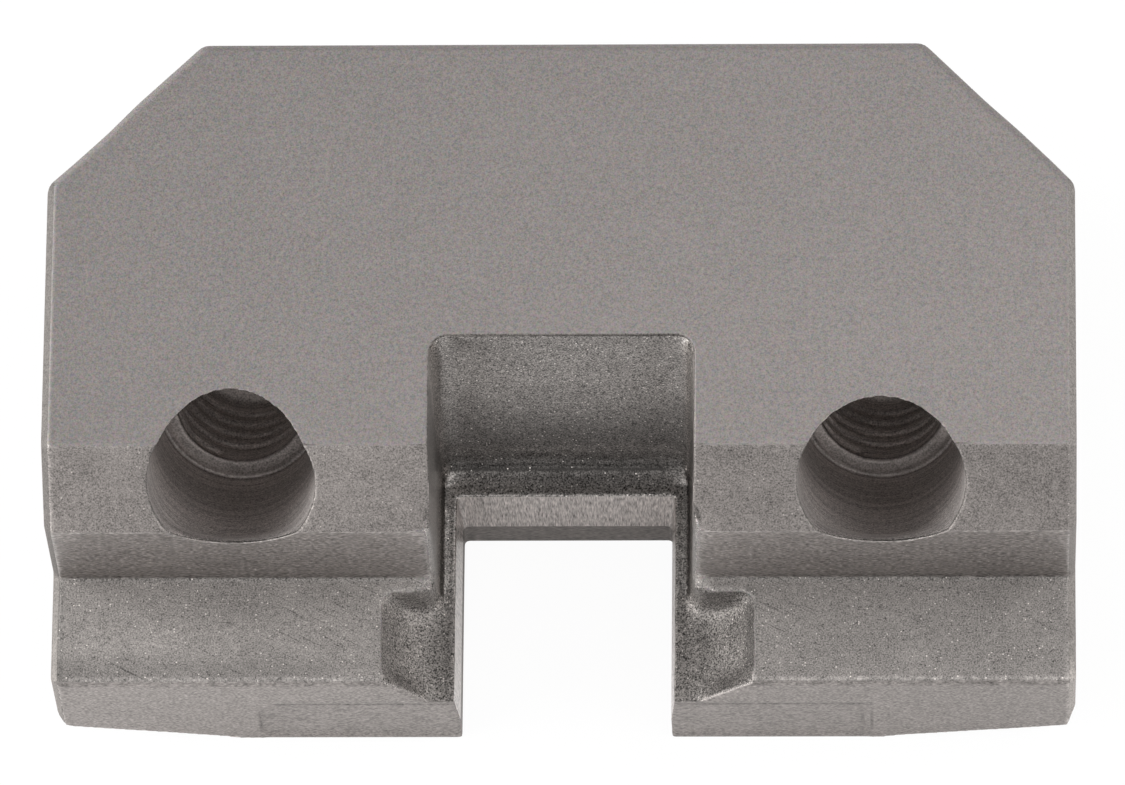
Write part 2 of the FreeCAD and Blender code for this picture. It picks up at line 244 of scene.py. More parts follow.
GEOMETRY_IN, GEOMETRY_OUT = ("Geometry", "Geometry", None), ("Geometry", "Geometry")
steel = bpy.data.materials.new("tap_steel")  # for the trees to set, until the finishes take its place
print("stand-in:", steel.name)

# %% [markdown]
# ## The screw thread
#
# Below each counterbore the hole is tapped M6: a 60 degree vee that climbs 1 mm a turn. A thread follows
# a rule, so Geometry Nodes make it: a helix with a vee-shaped cross-section swept along it. The shape is
# that of the tap's teeth, and it is cut out of the block, as the tap does. The teeth are a little shallower
# than the standard says, because the real thread is worn and its crests are dull. A ring at the shoulder
# cuts the small groove that the counterbore's corner left.

# %% Geometry Nodes: the teeth of a tap
TOOTH_TURN = math.radians(90)  # the vee stands out from the helix, away from its middle
FOOT_SHARE, CREST_SHARE = 0.84, 0.12  # of the pitch: the tooth's width at its foot and at its dull crest

tap, given, result = new_tree("tap", "GeometryNodeTree", [
    GEOMETRY_IN, ("Pitch", "Float", 1.0), ("Turns", "Float", 5.0), ("Root Radius", "Float", 2.4),
    ("Crest Radius", "Float", 3.0), ("Groove Radius", "Float", 3.2), ("Groove Size", "Float", 0.1),
    ("Groove Height", "Float", 5.0), ("First Hole", "Vector", (0, 0, 0)), ("Hole Spacing", "Float", 25.0),
    ("Lean", "Float", 0.8), ("Steel", "Material", None)], [GEOMETRY_OUT])
height = add(tap, MATH, {0: given["Pitch"], 1: given["Turns"]}, operation="MULTIPLY")
both = add(tap, MATH, {0: given["Root Radius"], 1: given["Crest Radius"]})
middle = add(tap, MATH, {0: both, 1: 0.5}, operation="MULTIPLY")
tooth_depth = add(tap, MATH, {0: given["Crest Radius"], 1: given["Root Radius"]}, operation="SUBTRACT")
foot = add(tap, MATH, {0: given["Pitch"], 1: FOOT_SHARE}, operation="MULTIPLY")
crest = add(tap, MATH, {0: given["Pitch"], 1: CREST_SHARE}, operation="MULTIPLY")
helix = add(tap, "GeometryNodeCurveSpiral", {
    "Resolution": 64, "Rotations": given["Turns"], "Start Radius": middle, "End Radius": middle,
    "Height": height, "Reverse": True})
helix = add(tap, "GeometryNodeSetCurveNormal", {"Curve": helix}, mode="Z_UP")
tooth = add(tap, "GeometryNodeCurvePrimitiveQuadrilateral", {
    "Height": tooth_depth, "Bottom Width": foot, "Top Width": crest, "Offset": 0.0}, mode="TRAPEZOID")
tooth = add(tap, "GeometryNodeTransform", {"Geometry": tooth, "Rotation": (0, 0, TOOTH_TURN)})
teeth = add(tap, "GeometryNodeCurveToMesh", {"Curve": helix, "Profile Curve": tooth, "Fill Caps": True})
ring = add(tap, "GeometryNodeCurvePrimitiveCircle", {"Resolution": 64, "Radius": given["Groove Radius"]})
bead = add(tap, "GeometryNodeCurvePrimitiveCircle", {"Resolution": 8, "Radius": given["Groove Size"]})
ring = add(tap, "GeometryNodeCurveToMesh", {"Curve": ring, "Profile Curve": bead})
lift = add(tap, "ShaderNodeCombineXYZ", {"Z": given["Groove Height"]})
ring = add(tap, "GeometryNodeTransform", {"Geometry": ring, "Translation": lift})
one_tool = add(tap, "GeometryNodeJoinGeometry")
for shape in (teeth, ring):
    tap.links.new(shape.outputs[0], one_tool.inputs[0])
step = add(tap, "ShaderNodeCombineXYZ", {"X": given["Hole Spacing"]})
holes = add(tap, "GeometryNodeMeshLine", {
    "Count": 2, "Start Location": given["First Hole"], "Offset": step})
lean = add(tap, "ShaderNodeCombineXYZ", {"X": given["Lean"]})
tools = add(tap, "GeometryNodeInstanceOnPoints", {"Points": holes, "Instance": one_tool, "Rotation": lean})
tools = add(tap, "GeometryNodeRealizeInstances", {"Geometry": tools})
tools = add(tap, "GeometryNodeSetMaterial", {"Geometry": tools, "Material": given["Steel"]})
tap.links.new(tools.outputs[0], result[0])
print("tap tree:", len(tap.nodes), "nodes")

# %% [markdown]
# ## Tapping the holes
#
# The teeth stand in both holes and are taken from the block with a Boolean, as a tap takes steel away. It
# is worked in at once: the next step needs a plain mesh.

# %% The thread is cut
HOLE_X = 12.55  # mm from the middle of the block
MOUTH_Y, MOUTH_Z = -6.059, 12.841  # the middle of the mouth, on the slope
LEAN = math.radians(45)
AXIS = (0, -math.sin(LEAN), math.cos(LEAN))  # out of the hole
SHOULDER_DEPTH = 7.6  # mm down the hole
THREAD_END = 12.75  # mm down the hole, just short of the drill's cone
PITCH, TURNS = 1.0, 4.7
ROOT_RADIUS, CREST_RADIUS = 2.4, 2.68  # mm, from inside the drilled hole outward
GROOVE_RADIUS, GROOVE_SIZE = 3.17, 0.11  # mm: the ring at the counterbore's shoulder
start = Vector((-HOLE_X, MOUTH_Y, MOUTH_Z)) - Vector(AXIS) * THREAD_END
tap_teeth = made_by(tap, "tap_teeth", {
    "Pitch": PITCH * MM, "Turns": TURNS, "Root Radius": ROOT_RADIUS * MM,
    "Crest Radius": CREST_RADIUS * MM, "Groove Radius": GROOVE_RADIUS * MM,
    "Groove Size": GROOVE_SIZE * MM, "Groove Height": (THREAD_END - SHOULDER_DEPTH) * MM,
    "First Hole": start * MM, "Hole Spacing": 2 * HOLE_X * MM, "Lean": LEAN, "Steel": steel})
print("tap teeth:", len(tap_teeth.data.polygons), "faces")

cut = block.modifiers.new("tapping", "BOOLEAN")
cut.object = tap_teeth
cut.operation = "DIFFERENCE"
cut.solver = "EXACT"
block.data = worked(block)
block.data.materials.clear()
bpy.data.objects.remove(tap_teeth)
print("block with threads:", len(block.data.polygons), "faces")

# %% [markdown]
# ## A skin fine enough to hold wear
#
# A construction mesh has long faces and knife-sharp edges. Real edges are broken by a tenth of a
# millimetre, and that narrow band catches the light. A voxel remesh gives an even skin all over, so that
# later steps can round an edge or push in a grain anywhere.

# %% Voxel skin
VOXEL = 0.08  # mm

even = block.modifiers.new("even_skin", "REMESH")
even.mode = "VOXEL"
even.voxel_size = VOXEL * MM
skin = worked(block)
bpy.data.objects.remove(block)
print("even skin:", len(skin.vertices), "points")

# %% [markdown]
# ## Where each finish lies
#
# One block carries several finishes: a lapped top, a blasted slope and ledge, a milled wall, a ground
# front, a hollow left as it was cast, a notch cut by a spark, and bored holes. Each place is told from its
# distance to a few planes, so that any point of the skin can be asked which finish it belongs to.

# %% Zones of the block
TOP, LEDGE_Z, SLOPE_FOOT_Z = 14.0, 6.3, 11.37  # mm above the table
FRONT_Y = -11.95  # the cutting front
SEAT_Y = -7.53  # the wall behind the ledge
SLOPE_TOP_Y = -4.9
END_X = 20.0
FLOOR_Z = 4.0  # the slug pocket's floor
NOTCH_HALF, NOTCH_BACK_Y = 4.135, -3.72
SCOOP_REACH, RELIEF_REACH, MOUTH_REACH = 7.7, 4.9, 5.75  # from the middle to just past each
POCKET_BACK_Y, RELIEF_BACK_Y = -0.1, -3.1  # just behind the pocket's mouth and the relief
HOLE_REACH, HOLE_END = 3.45, 14.9  # round a hole's axis and down it: just past the hole
END_REACH, END_DEPTH = 0.28, 0.31  # how far the broken edge of an end reaches in, and down
LAND = 1.7  # the height of the straight cutting land at the foot of the notch
GROUND_HALF, GROUND_TOP = 12.0, 4.0  # the strip of the front that was ground once more
GROUND_CORNER_X, GROUND_CORNER_Z = -10.94, 2.7  # the middle of the strip's one round corner
GROUND_CORNER_WIDE, GROUND_CORNER_TALL = 1.06, 1.3  # and its radii
ZONES = ("top", "slope", "seat_wall", "ledge", "front", "ground", "hollow", "scoop", "relief",
         "relief_side", "land", "bore", "end", "rim")
KIND = {name: number for number, name in enumerate(ZONES)}
NEAR = 0.07  # mm, how close to a plane counts as on it
AT_FRONT = FRONT_Y + 0.12  # before this lie the front and the strip that was ground into it
RIM_DEPTH = 0.1  # mm, how far a mouth's rim reaches down


def inside(y, z):
    """How deep a point lies below the outer faces of the block, seen from the side."""
    below_slope = ((y - SEAT_Y) - (z - SLOPE_FOOT_Z)) / math.sqrt(2)
    upper = np.minimum(np.minimum(TOP - z, y - SEAT_Y), below_slope)
    return np.maximum(upper, np.minimum(LEDGE_Z - z, y - FRONT_Y)), below_slope


def from_hole(points, side):
    """How far points lie along a hole's axis, counted from its mouth, and away from it."""
    offset = points - np.array([side * HOLE_X, MOUTH_Y, MOUTH_Z])
    along = offset @ np.array(AXIS)
    return along, np.linalg.norm(offset - along[:, None] * np.array(AXIS), axis=1)


def beyond_round_corner(x, z):
    """Whether a point of the front lies outside the ground strip's round corner."""
    across = (x - GROUND_CORNER_X) / GROUND_CORNER_WIDE
    up = (z - GROUND_CORNER_Z) / GROUND_CORNER_TALL
    return (across < 0) & (up > 0) & (across ** 2 + up ** 2 > 1)


def zone_of(points):
    """The number in ZONES of each point, given in millimetres."""
    x, y, z = points.T
    deep, below_slope = inside(y, z)
    off = np.abs(x)  # the distance from the middle
    hollow = (off < SCOOP_REACH) & (y < POCKET_BACK_Y) & (z > FLOOR_Z - NEAR) & (deep > RIM_DEPTH)
    notch = (off < RELIEF_REACH) & (y < RELIEF_BACK_Y) & (y > FRONT_Y + 0.15)
    notch &= (z < FLOOR_Z - 0.05) & (z > 0.02)
    front_bevel = (y < FRONT_Y + 0.4) & (z > LEDGE_Z - 0.23) & (z < LEDGE_Z - NEAR)
    ground = (y < AT_FRONT) & (z < GROUND_TOP) & (off < GROUND_HALF) & ~beyond_round_corner(x, z)
    mouth = (off < MOUTH_REACH) & (y > SEAT_Y + 0.3) & (y < POCKET_BACK_Y) & (z > SLOPE_FOOT_Z + 0.3)
    rim = (deep > np.where(y > SLOPE_TOP_Y, 0.008, 0.025)) & (deep <= RIM_DEPTH)
    tests = [  # an earlier one wins over a later one
        ("scoop", hollow & (y < SEAT_Y)),
        ("hollow", hollow),
        ("relief_side", notch & (z > LAND) & (y < -4)),
        ("relief", notch & (z > LAND)),
        ("land", notch),
        ("end", (off > END_X - END_REACH) & (deep < END_DEPTH)),
        ("ground", ground),
        ("front", (y < AT_FRONT) | front_bevel),
        ("ledge", (np.abs(z - LEDGE_Z) < NEAR) & (y < SEAT_Y + 0.02)),
        ("seat_wall", (np.abs(y - SEAT_Y) < NEAR) & (z > LEDGE_Z) & (z < SLOPE_FOOT_Z)),
        ("slope", (np.abs(below_slope) < NEAR) & (z > SLOPE_FOOT_Z - 0.03) & (z < TOP - 0.03)),
    ]
    zone = np.full(len(points), KIND["top"])
    for name, test in reversed(tests):
        zone[test] = KIND[name]
    on_top_or_slope = zone <= KIND["slope"]
    zone[mouth & rim & on_top_or_slope] = KIND["rim"]
    for side in (-1, 1):
        along, away = from_hole(points, side)
        in_hole = (away < HOLE_REACH) & (along > -HOLE_END)
        zone[in_hole & (along < -0.12) & (deep > RIM_DEPTH)] = KIND["bore"]
        zone[in_hole & rim] = KIND["rim"]
    return zone


def places(mesh):
    """The places of a mesh's points, in millimetres."""
    flat = np.empty(len(mesh.vertices) * 3, dtype=np.float32)
    mesh.vertices.foreach_get("co", flat)
    return flat.reshape(-1, 3).astype(np.float64) / MM


def move_to(mesh, points):
    """Puts a mesh's points at places in millimetres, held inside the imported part's box."""
    held = np.clip(points, np.array(cad_low) / MM, np.array(cad_high) / MM)
    mesh.vertices.foreach_set("co", (held * MM).astype(np.float32).ravel())
    return held


points = places(skin)
zones = zone_of(points)
print("points in each zone:", {name: int((zones == kind).sum()) for name, kind in KIND.items()})

# %% [markdown]
# ## What the photograph shows and the model leaves out
#
# A few places differ from the model by a tenth or two of a millimetre, as they do on a part that was
# finished by hand: both holes sit a little to the left and their mouths are shorter, the pocket's left
# side stands straighter, the bevels under the front's ends reach lower, and the ground strip of the front
# has one round corner and a second line at its right end. The points of the skin are moved by that much,
# and each move fades out around its place, so that no crease shows.

# %% Small departures
def ramp(value, low, high):
    """0 below low, 1 above high, and smooth between them."""
    t = np.clip((value - low) / (high - low), 0, 1)
    return t * t * (3 - 2 * t)


before = points.copy()
x, y, z = points.T

# each hole sits a little to the left, and the mouths are shorter: the right one on the top, both on the wall
WALL_RISE = 0.3  # how much of its length below the slope's foot a mouth loses
for hole_x, shift, shorter in ((-HOLE_X, -0.13, 0.0), (HOLE_X, -0.09, 0.16)):
    points[:, 0] += shift * ramp(5.5 - np.abs(x - hole_x), 0, 1.8) * ramp(z, 2, 6)
    near = ramp(4.6 - np.abs(x - hole_x), 0, 0.8)
    on_top = np.clip(y - SLOPE_TOP_Y, 0, 2.4) * ramp(1.2 - y, 0, 2.2) * ramp(z, 11.5, 13.8)
    points[:, 1] -= shorter * on_top * near
    on_wall = np.clip(SLOPE_FOOT_Z - z, 0, 1.9) * ramp(z, 7.0, 9.4) * ramp(SEAT_Y + 0.9 - y, 0, 0.8)
    points[:, 2] += WALL_RISE * on_wall * near

# the pocket's left side stands straighter
left_side = ramp(x, -7.2, -5.4) * ramp(-x, 2.0, 4.0) * ramp(-y, -1.5, 0.5)
points[:, 0] += 0.2 * ramp(z, FLOOR_Z, TOP) * left_side

# the cut back corners lie a little to the right, and the sides stay where they are
points[:, 0] += 0.15 * np.clip((y - 5) / 6.5, 0, 1) * (1 - ramp(np.abs(x), 19.0, 19.9))

# the front's right corner is shorter and fuller, and the bevels under both ends reach lower
RIGHT_CORNER_Y = -10.44
RIGHT_DROP, LEFT_DROP = 0.22, 0.12  # mm
past = np.clip(y - RIGHT_CORNER_Y, 0, None)
corner = np.clip(1 - past / 1.2, 0, 1) - np.clip(1 - past / 0.4, 0, 1) ** 2
points[:, 0] += 0.3 * corner * ramp(x, 19.3, 19.65)
low_front = ramp(-y, 7.6, 9.0) * ramp(3 - z, 0, 2)
points[:, 2] -= RIGHT_DROP * np.clip((x - GROUND_HALF) / 7, 0, 1) * low_front
points[:, 2] -= LEFT_DROP * ramp(-x, GROUND_HALF, GROUND_HALF + 1) * low_front

# the ground strip lies deeper, so that its outline shows, has one round corner and a second line on the
# right, and comes forward again towards the cutting edge
STEP, DEEPER = 0.05, 0.03  # mm
on_ground = (np.abs(y - (FRONT_Y + STEP)) < 0.03) & (z < GROUND_TOP)
points[on_ground, 1] += DEEPER
points[on_ground & beyond_round_corner(x, z), 1] -= STEP + DEEPER
points[on_ground & (x > GROUND_HALF - 0.3), 1] -= STEP / 2
points[on_ground, 1] -= ((STEP + DEEPER) * ramp(0.7 - z, 0, 0.6))[on_ground]

# the cutting edge at the foot of the front stays keen: it is pushed into the corner of the box
SHARPENED = 0.06  # mm
keen = SHARPENED * ramp(0.16 - z, 0, 0.1) * (y < -10)
points[:, 1] -= keen
points[:, 2] -= keen
x, y, z = move_to(skin, points).T
print("the farthest move, mm:", round(float(np.abs(points - before).max()), 2))

# %% [markdown]
# ## How rough and how soft each place is
#
# Three marks are written on the skin for the next step to read: how much its edges may be eased (ease), how
# much a place is softened as castings are (soft), and how deep its grain is (rough). Cutting edges, the
# rims of the pocket and of the holes, and the outline of the ground strip stay keen.

# %% Marks on the skin
HOLE_RIM_REACH, HOLE_RIM_DEPTH = 3.8, 0.6  # mm round a hole's axis and down it
THREAD_REACH, THREAD_WEAR = 3.1, 0.012  # mm round the axis, and how soft the worn thread is

deep, _ = inside(y, z)
notch_rim = (np.abs(x) < NOTCH_HALF + 0.7) & (y < NOTCH_BACK_Y + 0.9) & (z < FLOOR_Z + 0.25)
strip_rim = (y < AT_FRONT) & (z < GROUND_TOP + 0.2) & ((np.abs(x) > 10.5) | (z > GROUND_TOP - 0.3))
cutting_edge = (z < 0.35) & (y < FRONT_Y + 0.4) | (z < 0.3) & (np.abs(x) < 4.6) & (y < -3.3)
pocket_mouth = (np.abs(x) < 5.9) & (y > SEAT_Y) & (y < 0.2) & (z > SLOPE_FOOT_Z)
front_top = (y < FRONT_Y + 0.6) & (z > LEDGE_Z - 0.5)
ease = (1 - 0.9 * (cutting_edge | strip_rim)) * (1 - 0.9 * pocket_mouth) * (1 - 0.7 * front_top)
for side in (-1, 1):
    along, away = from_hole(points, side)
    ease *= 1 - 0.7 * ((away < HOLE_RIM_REACH) & (along > -HOLE_RIM_DEPTH))

cast = (zones == KIND["hollow"]) | (zones == KIND["scoop"])
wall_corners = ramp(0.75 - np.abs(np.abs(x) - 5.15), 0, 0.4) * ramp(z, 5.9, 6.5)
wall_corners *= ramp(-y, 6.6, 7.3) * (y > -8.3)  # where the seat wall turns into the pocket
soft = np.maximum(ramp(deep, 0.15, 0.8) * cast, 0.15 * wall_corners) * ~notch_rim
for side in (-1, 1):
    along, away = from_hole(points, side)
    threaded = (away < THREAD_REACH) & (along < -SHOULDER_DEPTH - 0.15) & (along > -HOLE_END)
    soft[threaded] = THREAD_WEAR

GRAIN = {"slope": 0.5, "ledge": 0.6, "front": 0.15, "hollow": 1.0, "scoop": 1.0, "seat_wall": 0.25,
         "relief": 0.1}  # the share of the full depth, and none where a zone isn't named
rough = np.array([GRAIN.get(name, 0.0) for name in ZONES])[zones]
for name, values in (("soft", soft), ("ease", ease), ("rough", rough)):
    skin.attributes.new(name, "FLOAT", "POINT").data.foreach_set("value", values.astype(np.float32))
    print("mark", name, "from", round(float(values.min()), 3), "to", round(float(values.max()), 3))

# %% [markdown]
# ## Wear and cast grain
#
# Two things follow one rule all over the block, so Geometry Nodes work them: edges are eased by blurring
# the places of the points, more so inside the cast hollow, and cast skin is pushed in and out by noise of
# the size of its grain. The tree also notes how far each point still stands out of its surroundings. The
# steels below read that note: a worn edge is brighter, partly wear and partly a painted highlight, and a
# corner is painted darker, as shade.

# %% Geometry Nodes: worn edges and cast grain
AROUND_PASSES = 8  # how wide a blur tells what lies around a point

wear, given, result = new_tree("worn_skin", "GeometryNodeTree", [
    GEOMETRY_IN, ("Edge Passes", "Int", 3), ("Cast Passes", "Int", 20), ("Edge Size", "Float", 0.02),
    ("Grain Size", "Float", 0.3), ("Grain Depth", "Float", 0.02), ("Wave Size", "Float", 2.0),
    ("Wave Depth", "Float", 0.02), ("Steel", "Material", None)], [GEOMETRY_OUT])
place = add(wear, "GeometryNodeInputPosition")
facing = add(wear, "GeometryNodeInputNormal")
shape = given["Geometry"]
for passes, mark in (("Edge Passes", "ease"), ("Cast Passes", "soft")):
    weight = add(wear, "GeometryNodeInputNamedAttribute", {"Name": mark}, data_type="FLOAT")
    blurred = add(wear, "GeometryNodeBlurAttribute", {
        "Value": place, "Iterations": given[passes], "Weight": weight},
        data_type="FLOAT_VECTOR")
    shape = add(wear, "GeometryNodeSetPosition", {"Geometry": shape, "Position": blurred})

# how far a point stands out of the places around it, along its normal
around = add(wear, "GeometryNodeBlurAttribute", {
    "Value": place, "Iterations": AROUND_PASSES}, data_type="FLOAT_VECTOR")
proud = add(wear, VECTOR_MATH, {0: place, 1: around}, operation="SUBTRACT")
proud = add(wear, VECTOR_MATH, {0: proud, 1: facing}, operation="DOT_PRODUCT")
proud = add(wear, MATH, {0: proud.outputs["Value"], 1: given["Edge Size"]}, operation="DIVIDE")
noted = add(wear, "GeometryNodeStoreNamedAttribute", {
    "Geometry": shape, "Name": "edge", "Value": proud}, data_type="FLOAT", domain="POINT")

# grain and long waves push the rough places in and out
depths = []
for size, depth in (("Grain Size", "Grain Depth"), ("Wave Size", "Wave Depth")):
    scale = add(wear, MATH, {0: 1.0, 1: given[size]}, operation="DIVIDE")
    field = add(wear, "ShaderNodeTexNoise", {"Vector": place, "Scale": scale, "Detail": 2.0})
    centred = add(wear, MATH, {0: field, 1: 0.5}, operation="SUBTRACT")
    depths.append(add(wear, MATH, {0: centred, 1: given[depth]}, operation="MULTIPLY"))
total = add(wear, MATH, {0: depths[0], 1: depths[1]})
grain = add(wear, "GeometryNodeInputNamedAttribute", {"Name": "rough"}, data_type="FLOAT")
total = add(wear, MATH, {0: total, 1: grain}, operation="MULTIPLY")
push = add(wear, VECTOR_MATH, {0: facing, "Scale": total}, operation="SCALE")
worn = add(wear, "GeometryNodeSetPosition", {"Geometry": noted, "Offset": push})
worn = add(wear, "GeometryNodeRealizeInstances", {"Geometry": worn})
worn = add(wear, "GeometryNodeSetMaterial", {"Geometry": worn, "Material": given["Steel"]})
wear.links.new(worn.outputs[0], result[0])
die = made_by(wear, "nibbler_die", {
    "Edge Passes": 3, "Cast Passes": 90, "Edge Size": 0.045 * MM, "Grain Size": 0.28 * MM,
    "Grain Depth": 0.022 * MM, "Wave Size": 2.2 * MM, "Wave Depth": 0.1 * MM, "Steel": steel}, skin)
print("worn skin:", len(die.data.vertices), "points")

# %% [markdown]
# ## Fewer triangles
#
# The even skin spends as many points on flat faces as on the thread. Triangles are taken away where the
# skin is flat, and the grain, the edges and the thread keep theirs. The result is held inside the packed
# part's box.

# %% Fewer triangles where the skin is flat
MOST_TRIANGLES = 190000

die.modifiers.new("triangles", "TRIANGULATE")
die.modifiers.new("fewer", "DECIMATE").ratio = MOST_TRIANGLES / (2 * len(die.data.polygons))
die.data = worked(die)
points = move_to(die.data, places(die.data))
print("finished skin:", len(die.data.polygons), "triangles")

# %% [markdown]
# ## What the steels read from the skin
#
# Edges that are rubbed turn bright: partly wear, and partly a painted highlight. The note of edges is taken
# back where the real die shows no bright edge: around the cast pocket, at the rims of the holes and in the
# bores.

# %% The note of edges
POCKET_RIM_X, SCOOP_RIM_X = 6.2, 8.2  # mm from the middle: worn edges show from here outward

x, y, z = points.T
kinds = zone_of(points)
edge = np.empty(len(points), dtype=np.float32)
die.data.attributes["edge"].data.foreach_get("value", edge)
by_scoops = y <= -7.9  # in front of the seat wall, where the hollow is wider
edge *= 1 - ramp(POCKET_RIM_X - np.abs(x), 0, 0.6) * ~by_scoops
edge *= 1 - 0.85 * ramp(SCOOP_RIM_X - np.abs(x), 0, 0.3) * by_scoops
for side in (-1, 1):
    along, away = from_hole(points, side)
    edge *= 1 - 0.8 * ((away < HOLE_RIM_REACH) & (along > -HOLE_RIM_DEPTH))
edge[(x < -19.3) & (z < LEDGE_Z + 0.1)] *= 0.3
edge[kinds == KIND["bore"]] = 0
die.data.attributes["edge"].data.foreach_set("value", edge)
print("points that stand out:", int((edge > 0.25).sum()))

# %% [markdown]
# ## Painted light and shade
#
# A second mark, shade, is a factor on the steel's brightness, and paints light and shade: it darkens the
# foot of the pocket, the right-hand scoop, the rims of the mouths, the front's bevel and the ground strip's
# outline, and it brightens the pocket's side walls and the broken edges of the ends. Each counterbore is made
# darker at its shoulder and towards its mouth, and the ledge at its front left, where it is marked.

# %% Shades of the steels
# painted shade on rims, the outline, the bevel and the lip, and painted light on the ends
HOLE_RIM_TONE, POCKET_RIM_TONE, OUTLINE_TONE, BEVEL_TONE, LIP_TONE = 0.55, 0.6, 0.7, 0.85, 0.75
LEFT_END_TONE, FRONT_END_TONE = 1.25, 1.5
STRIP_LINE_X = 11.85  # the upright lines of the ground strip's outline

# the pocket, painted light and shade: dark at the foot of its back wall, a lighter band, and dark above it;
# its side walls are painted lighter
shade = np.ones(len(points))
in_pocket = kinds == KIND["hollow"]
back_wall = np.interp(z, [4.2, 4.5, 4.8, 5.2, 5.6, 6.1, 6.6, 8.0, 10.2, 12.5, 13.6],
                      [0.34, 0.48, 0.66, 0.88, 0.6, 0.55, 0.58, 0.78, 1.04, 0.98, 0.87])
floor = np.interp(-y, [1.9, 2.25, 2.38, 2.9], [0.16, 0.16, 0.58, 1.0])
side_wall = ramp(np.abs(x), 4.55, 4.95)
side_tone = 1.25 + 0.8 * ramp(y, -2.4, -1.9) * ramp(np.abs(x), 4.7, 4.85)
foot_line = ramp(np.abs(x), 4.6, 4.72) * ramp(4.97 - np.abs(x), 0, 0.1) * ramp(4.5 - z, 0, 0.2)
pocket_tone = np.where(z < 4.2, floor, back_wall) * (1 - side_wall) + side_tone * side_wall
shade[in_pocket] = (pocket_tone * (1 - 0.55 * foot_line))[in_pocket]
# the scoops: painted shade towards the floor and on the right-hand side
in_scoop = kinds == KIND["scoop"]
scoop_tone = (0.85 + 0.15 * ramp(z, 4.0, 4.5)) * (1.04 - 0.26 * ramp(x, 5.0, 5.6))
shade[in_scoop] = scoop_tone[in_scoop]

# the holes: darker at the shoulder and towards the mouth, and painted shade on the rim's right side,
# which would mirror the lamp
for side in (-1, 1):
    along, away = from_hole(points, side)
    below_mouth = ramp(along, -SHOULDER_DEPTH - 0.3, -SHOULDER_DEPTH - 0.15)
    shoulder = below_mouth * ramp(-along, SHOULDER_DEPTH - 0.25, SHOULDER_DEPTH - 0.1)
    bore_tone = (1 - 0.35 * shoulder) * (1 - 0.28 * ramp(along, -3, 0))
    here = (kinds == KIND["bore"]) & (x * side > 0)
    shade[here] = bore_tone[here]
    bright_side = (kinds == KIND["rim"]) & (away < HOLE_RIM_REACH) & (x > side * HOLE_X)
    shade[bright_side] = HOLE_RIM_TONE

# the ends, the ledge and the front: painted light on the ends, painted shade on the ledge's left end and on
# the front's bevel, and a darker patch where the ledge's front left is marked
at_end, at_ledge = kinds == KIND["end"], kinds == KIND["ledge"]
shade[at_end & (z < LEDGE_Z) & (x < 0)] = LEFT_END_TONE
shade[at_end & (y < -11.3)] = FRONT_END_TONE
left_front = ramp(-x, 7, 11) * ramp(-y, 10.4, 11.4)
shade[at_ledge] -= (0.2 * left_front + 0.3 * ramp(-x, 19.5, 19.6))[at_ledge]
front_bevel = (kinds == KIND["front"]) & (z > LEDGE_Z - 0.3)
shade[front_bevel] = BEVEL_TONE
# a painted shadow along the ground strip's outline, where its step casts one
strip_top = (np.abs(z - GROUND_TOP) < 0.07) & (x > GROUND_CORNER_X) & (x < GROUND_HALF)
from_line = np.abs(np.abs(x) - STRIP_LINE_X)
strip_sides = (from_line > 0.12) & (from_line < 0.22) & (z > 0.8) & (z < 3)
shade[(y < AT_FRONT) & (strip_top | strip_sides)] = OUTLINE_TONE
# painted shade on the pocket's right rim, against the lamp it would mirror
shade[(kinds == KIND["rim"]) & (np.abs(x) < MOUTH_REACH) & (x > 0)] = POCKET_RIM_TONE
# painted shade on the right-hand lip, where a lamp's highlight would show
right_lip = (x > 7.15) & (x < 7.6) & (y < -7.9) & (y > -11.3) & (z > 4.5)
shade[right_lip] *= LIP_TONE
die.data.attributes.new("shade", "FLOAT", "POINT").data.foreach_set("value", shade.astype(np.float32))
print("shade from", round(float(shade.min()), 2), "to", round(float(shade.max()), 2))

# %% [markdown]
# ## One recipe for steel, many settings
#
# Every face is the same hardened tool steel, so all the finishes share one recipe, kept in a node group.
# It starts from the metal's own unevenness, fine grain and wider mottling, and adds painted light and shade
# that changes slowly from one end to the other. Grain goes into the colour as well as into the bump, because
# at 0.06 mm it is about as fine as a pixel. All sizes are in millimetres on the object.

# %% The steel recipe: grain, mottling and drift
MIDDLE_SIZE, PATCH_SIZE, BROAD_SIZE = 0.2, 1.1, 5.0  # mm, of the coarser grain and the mottling
MIDDLE_SHARE = 0.23  # how much of the coarser grain goes with the fine
BREAK_SIZE, PIT_SIZE = 0.3, 0.125  # mm, of the breaks in a worn edge, and of the pits' noise

recipe, given, result = new_tree("steel_finish", "ShaderNodeTree", [
    ("Colour", "Color", (0.3, 0.3, 0.3, 1)), ("Roughness", "Float", 0.5), ("Grain", "Float", 0.065),
    ("Contrast", "Float", 1.0), ("Mottle", "Float", 0.1), ("Relief", "Float", 0.003),
    # the glints and the darkening of corners are painted light and shade, and worn edges are part wear, part
    # painted highlight
    ("Run", "Vector", (1, 1, 1)), ("Tint", "Float", 0.0), ("Wear And Highlight", "Float", 0.35), ("Corner Shade", "Float", 0.3),
    ("Pits", "Float", 0.0), ("Glint", "Float", 0.0), ("Glint Share", "Float", 0.07),
    ("Scratches", "Float", 0.0), ("Rings", "Float", 0.0), ("Outline Height", "Float", -1.0),
    ("Outline", "Float", 0.0), ("Left Shade", "Float", 1.0), ("Right Shade", "Float", 1.0),
    ("Back Shade", "Float", 1.0)],
    [("Colour", "Color"), ("Roughness", "Float"), ("Normal", "Vector")])
spot = add(recipe, "ShaderNodeTexCoord").outputs["Object"]
mm = add(recipe, VECTOR_MATH, {0: spot, "Scale": 1 / MM}, operation="SCALE")
run = add(recipe, VECTOR_MATH, {0: mm, 1: given["Run"]}, operation="MULTIPLY")
grain_scale = add(recipe, MATH, {0: 1.0, 1: given["Grain"]}, operation="DIVIDE")

